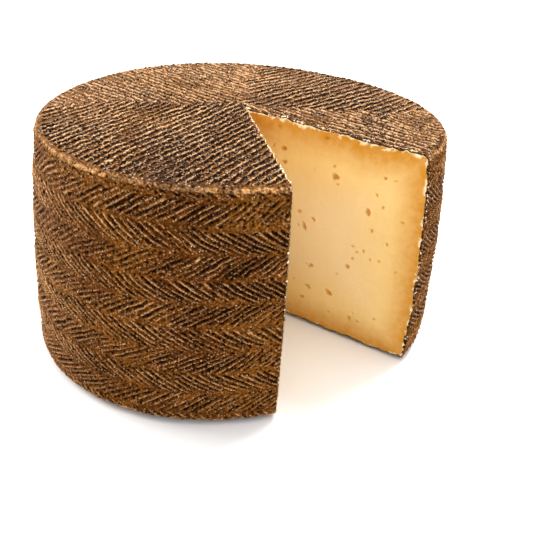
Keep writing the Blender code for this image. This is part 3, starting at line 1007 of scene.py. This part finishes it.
def paste_tint(tree, weather, place):
    """Colour of the paste: gold to cream to ivory, with crust, curds and painted light and shade in the
    eyes.
    """
    to_rind = numbered(tree, "to_rind")
    shift = arithmetic(tree, "SUBTRACT", weather["Patches"], 0.5)
    distance = arithmetic(tree, "ADD", to_rind, arithmetic(tree, "MULTIPLY", shift, 0.0018))
    tint = blended(tree, ranged(tree, distance, 0.0, GOLD_REACH), DRIED_GOLD, CREAM)
    tint = blended(tree, ranged(tree, distance, IVORY_FROM, IVORY_TO, 0.0, 0.8), tint, IVORY)
    crust = ranged(tree, noise_at(tree, place, 230.0, 3.0, 0.6), 0.38, 0.64, 0.0003, 0.0025)
    frayed = arithmetic(tree, "SUBTRACT", to_rind, crust)
    tint = blended(tree, ranged(tree, frayed, 0.0007, -0.0008), tint, CRUST_PALE)
    tint = blended(tree, arithmetic(tree, "MULTIPLY", weather["Mottling"], 0.12), tint, CURD_PALE)
    # The eyes get painted light and shade, a darker golden tint.
    return blended(tree, arithmetic(tree, "MULTIPLY", numbered(tree, "eye"), 0.82), tint, EYE_PAINTED_LIGHTING)


def paste_material():
    """Make the paste's finish."""
    material = bpy.data.materials.new("paste_finish")
    material.use_nodes = True
    tree = material.node_tree
    shader = tree.nodes["Principled BSDF"]
    place = node(tree, "ShaderNodeTexCoord").outputs["Object"]
    weather = placed_group(tree, weather_group, place, Patch=24.0, Mottle=260.0)
    tree.links.new(paste_tint(tree, weather, place), shader.inputs["Base Color"])
    tree.links.new(scaled(tree, weather["Mottling"], 0.42, 0.56), shader.inputs["Roughness"])
    bump = node(tree, "ShaderNodeBump", Strength=0.35, Distance=0.00015, Height=weather["Grit"])
    tree.links.new(bump.outputs["Normal"], shader.inputs["Normal"])
    shader.inputs["Subsurface Weight"].default_value = 0.15
    shader.inputs["Subsurface Radius"].default_value = (1.0, 0.55, 0.2)
    shader.inputs["Subsurface Scale"].default_value = 0.004
    shader.inputs["Specular IOR Level"].default_value = 0.2
    return material


paste.data.materials.append(paste_material())

# %% Crumb finish
crumb_finish = bpy.data.materials.new("crumb_finish")
crumb_finish.use_nodes = True
tree = crumb_finish.node_tree
shader = tree.nodes["Principled BSDF"]
place = node(tree, "ShaderNodeTexCoord").outputs["Object"]
weather = placed_group(tree, weather_group, place, Patch=120.0, Mottle=500.0)
tint = blended(tree, weather["Patches"], colour(252, 243, 222), colour(238, 208, 156))
tree.links.new(tint, shader.inputs["Base Color"])
shader.inputs["Roughness"].default_value = 0.6

# %% [markdown]
# A cut leaves crumbs on its edges, and a dry rind sheds flakes. They repeat, so Geometry
# Nodes scatter them: a density of small uneven grains over a carrier surface, with named
# inputs for how many and how large. The carriers are narrow ribbons along the top and side
# edges of the cuts, and coarse copies of the rind. All are removed once the grains are real.

# %% The scatter tree
FULL_TURN = 6.28          # grains turn by up to this angle about each axis


def scatter_tree(material):
    """Geometry Nodes that scatter uneven grains over the faces of a carrier."""
    tree = bpy.data.node_groups.new("scatter_grains", "GeometryNodeTree")
    tree.interface.new_socket("Geometry", in_out="INPUT", socket_type="NodeSocketGeometry")
    for label in ("Density", "Smallest", "Largest"):
        tree.interface.new_socket(label, in_out="INPUT", socket_type="NodeSocketFloat")
    tree.interface.new_socket("Seed", in_out="INPUT", socket_type="NodeSocketInt")
    tree.interface.new_socket("Geometry", in_out="OUTPUT", socket_type="NodeSocketGeometry")
    given = tree.nodes.new("NodeGroupInput").outputs
    result = tree.nodes.new("NodeGroupOutput").inputs
    spread = node(tree, "GeometryNodeDistributePointsOnFaces", Mesh=given["Geometry"],
                  Density=given["Density"], Seed=given["Seed"])
    grain = node(tree, "GeometryNodeMeshIcoSphere", Radius=1.0, Subdivisions=1)
    size = node(tree, "FunctionNodeRandomValue", {"data_type": "FLOAT"}, _2=given["Smallest"],
                _3=given["Largest"], Seed=given["Seed"])
    shape = node(tree, "FunctionNodeRandomValue", {"data_type": "FLOAT_VECTOR"}, _0=(0.6, 0.6, 0.35),
                 _1=(1.3, 1.2, 0.8), Seed=given["Seed"])
    scale = node(tree, "ShaderNodeVectorMath", {"operation": "SCALE"}, _0=shape.outputs[0],
                 Scale=size.outputs[1])
    turn = node(tree, "FunctionNodeRandomValue", {"data_type": "FLOAT_VECTOR"}, _0=(0.0, 0.0, 0.0),
                _1=(FULL_TURN, FULL_TURN, FULL_TURN), Seed=given["Seed"])
    placed = node(tree, "GeometryNodeInstanceOnPoints", Points=spread.outputs["Points"],
                  Instance=grain.outputs["Mesh"], Rotation=turn.outputs[0], Scale=scale.outputs[0])
    real = node(tree, "GeometryNodeRealizeInstances", Geometry=placed.outputs["Instances"])
    finished = node(tree, "GeometryNodeSetMaterial", Geometry=real.outputs[0], Material=material)
    tree.links.new(finished.outputs[0], result[0])
    return tree


def scattered(name, carrier, tree, **values):
    """Scatter grains over a carrier, make them a plain mesh and remove the carrier."""
    modifier = carrier.modifiers.new("grains", "NODES")
    modifier.node_group = tree
    for item in tree.interface.items_tree:
        if item.in_out == "INPUT" and item.name in values:
            modifier[item.identifier] = values[item.name]
    bpy.context.view_layer.update()
    depsgraph = bpy.context.evaluated_depsgraph_get()
    mesh = bpy.data.meshes.new_from_object(carrier.evaluated_get(depsgraph))
    made = bpy.data.objects.new(name, mesh)
    bpy.context.scene.collection.objects.link(made)
    bpy.data.objects.remove(carrier, do_unlink=True)
    mesh.shade_smooth()
    print(name, "grains", len(mesh.polygons) // 20)
    return made


grains_tree = scatter_tree(crumb_finish)

# %% Crumbs along the cuts
CRUMB_LEAN = 0.0003       # crumbs hang this far out over the cut where they are thickest
SIDE_CRUMBS = 0.22        # the ribbon down a side edge is this share as wide
BASE_CLEAR = 0.003        # it ends this far above the base


def ribbon(direction, side, angle, width, seed):
    """A strip of uneven width along a cut's top edge and down its side edge."""
    (top_reach, top_z), (edge_reach, edge_z), _ = cut_outline(angle)
    kept = edge_z > BASE_CLEAR
    along = np.concatenate([top_reach, edge_reach[kept]])
    heights = np.concatenate([top_z, edge_z[kept]])
    clump = 0.15 + 1.2 * value_noise(along, heights, 0 * along, 0.0036, seed)
    clump = clump + 0.7 * value_noise(along, heights, 0 * along, 0.0013, seed + 1)
    clump = np.clip(clump, 0.0, 1.7)[:, None]
    on_side = np.arange(len(along)) >= len(top_reach)
    clump = np.where(on_side[:, None], SIDE_CRUMBS * clump, clump) + 0.00001
    heading = np.array([math.cos(direction), math.sin(direction)])
    away = np.array([side * heading[1], -side * heading[0], 0.0])
    plan = NOTCH_POINT + AXIS + heading * along[:, None]
    centre = np.column_stack([plan, heights - 0.0001])
    strip = np.stack([centre - away * CRUMB_LEAN * clump, centre + away * width * clump], axis=1)
    return mesh_from_arrays("ribbon", strip.reshape(-1, 3), grid_quads(len(centre), 2))


crumbs = []
for label, direction, side, angle, width, seed in (
    ("front", FRONT_CUT, 1, RIND_END, 0.0007, 5),
    ("right", RIGHT_CUT, -1, RIND_START, 0.0024, 6),
):
    crumbs.append(scattered("cut_crumbs_" + label, ribbon(direction, side, angle, width, seed), grains_tree,
                            Density=2.2e6, Smallest=0.00010, Largest=0.00056, Seed=seed))

# %% Flakes on the rind


def side_carrier():
    """A coarse copy of the side's skin for the flakes to sit on."""
    angles = COLUMN_ANGLES[3:-3:6]
    side, _ = side_points(angles, path[6:-4:5], sink=0.0001)
    return mesh_from_arrays("carrier", side.reshape(-1, 3), grid_quads(*side.shape[:2]))


def face_carrier():
    """A coarse copy of the top's skin."""
    face, _ = face_points(COLUMN_ANGLES[3:-3:4], 60, True)
    return mesh_from_arrays("carrier", face[2:].reshape(-1, 3), grid_quads(58, face.shape[1]))


flakes = [
    scattered("side_flakes", side_carrier(), grains_tree,
              Density=3.0e4, Smallest=0.00010, Largest=0.00032, Seed=8),
    scattered("face_flakes", face_carrier(), grains_tree,
              Density=6.0e4, Smallest=0.00010, Largest=0.00030, Seed=9),
]

# %% [markdown]
# The dressed pieces now take the solid's place. They all ride on the one body and stand for
# the one solid.

# %% Ride and replace
for piece in side_skins + face_skins + flakes:
    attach(piece, "root")
    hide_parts("cheese")
for piece in [paste] + crumbs:
    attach(piece, "root")
    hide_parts("cheese")

# %% [markdown]
# The cheese stands on a plain white floor, which is stage and no part of it. The camera
# looks down at thirty-one degrees from about 37 centimetres away and is tipped a little.
# Its values come from fitting the wheel's outline to the photo, and are kept as real sizes.

# %% Floor
FLOOR_DROP = 0.0003       # the floor lies this far under the base, so the two don't flicker
bpy.ops.mesh.primitive_plane_add(size=8.0, location=(0.0, 0.0, -FLOOR_DROP))
floor = bpy.context.object
floor.name = "floor"
floor_finish = bpy.data.materials.new("floor_finish")
floor_finish.use_nodes = True
floor_shader = floor_finish.node_tree.nodes["Principled BSDF"]
floor_shader.inputs["Base Color"].default_value = (0.94, 0.94, 0.94, 1.0)
floor_shader.inputs["Roughness"].default_value = 0.9
floor_shader.inputs["Specular IOR Level"].default_value = 0.1
floor.data.materials.append(floor_finish)

# %% Camera
CAMERA_TILT = math.radians(31.189)
CAMERA_ROLL = math.radians(4.461)
CAMERA_DISTANCE = 0.37386
CAMERA_ASIDE = -0.01337
CAMERA_LIFT = 0.02889
FOCAL_PIXELS = 700.0
FRAME_PIXELS = 533.0
SENSOR_WIDTH = 36.0       # in millimetres, as the lens is

back = Vector((0.0, -math.cos(CAMERA_TILT), math.sin(CAMERA_TILT)))
level_right = Vector((1.0, 0.0, 0.0))
level_up = back.cross(level_right)
right_way = math.cos(CAMERA_ROLL) * level_right + math.sin(CAMERA_ROLL) * level_up
up_way = -math.sin(CAMERA_ROLL) * level_right + math.cos(CAMERA_ROLL) * level_up
wheel_middle = Vector((AXIS[0], AXIS[1], HEIGHT / 2))
camera_data = bpy.data.cameras.new("camera")
camera_data.sensor_width = SENSOR_WIDTH
camera_data.lens = SENSOR_WIDTH * FOCAL_PIXELS / FRAME_PIXELS
camera_data.clip_start = 0.01
camera = bpy.data.objects.new("camera", camera_data)
bpy.context.scene.collection.objects.link(camera)
spot = wheel_middle + back * CAMERA_DISTANCE - right_way * CAMERA_ASIDE - up_way * CAMERA_LIFT
facing = Matrix((right_way, up_way, back)).transposed().to_4x4()
camera.matrix_world = Matrix.Translation(spot) @ facing
bpy.context.scene.camera = camera
print("camera at", [round(v, 4) for v in spot])

# %% [markdown]
# The light is a bright white room with a broad lamp overhead, one low on the left and one
# high behind on the right, which rakes over the top and makes its ridges glint. A lit dome
# alone would leave the plait marks flat.


# %% Lights
def area_light(name, place, target, size, power, tint):
    """Add a square lamp that faces a target."""
    data = bpy.data.lights.new(name, "AREA")
    data.size = size
    data.energy = power
    data.color = tint
    lamp = bpy.data.objects.new(name, data)
    lamp.location = place
    lamp.rotation_euler = (Vector(target) - Vector(place)).to_track_quat("-Z", "Y").to_euler()
    bpy.context.scene.collection.objects.link(lamp)


area_light("overhead_lamp", (0.10, 0.35, 1.10), (0, 0, 0.05), 1.6, 10.5, (1.0, 1.0, 1.0))
area_light("left_lamp", (-0.95, 0.25, 0.55), (0, 0, 0.06), 0.5, 10.0, (1.0, 0.98, 0.96))
area_light("back_lamp", (0.42, 0.52, 0.98), (0, 0, 0.08), 0.4, 14.5, (1.0, 0.99, 0.97))

room = bpy.data.worlds.new("room")
room.use_nodes = True
room.node_tree.nodes["Background"].inputs["Color"].default_value = (1.0, 1.0, 1.0, 1.0)
room.node_tree.nodes["Background"].inputs["Strength"].default_value = 0.95
bpy.context.scene.world = room
bpy.context.scene.view_settings.view_transform = "Standard"
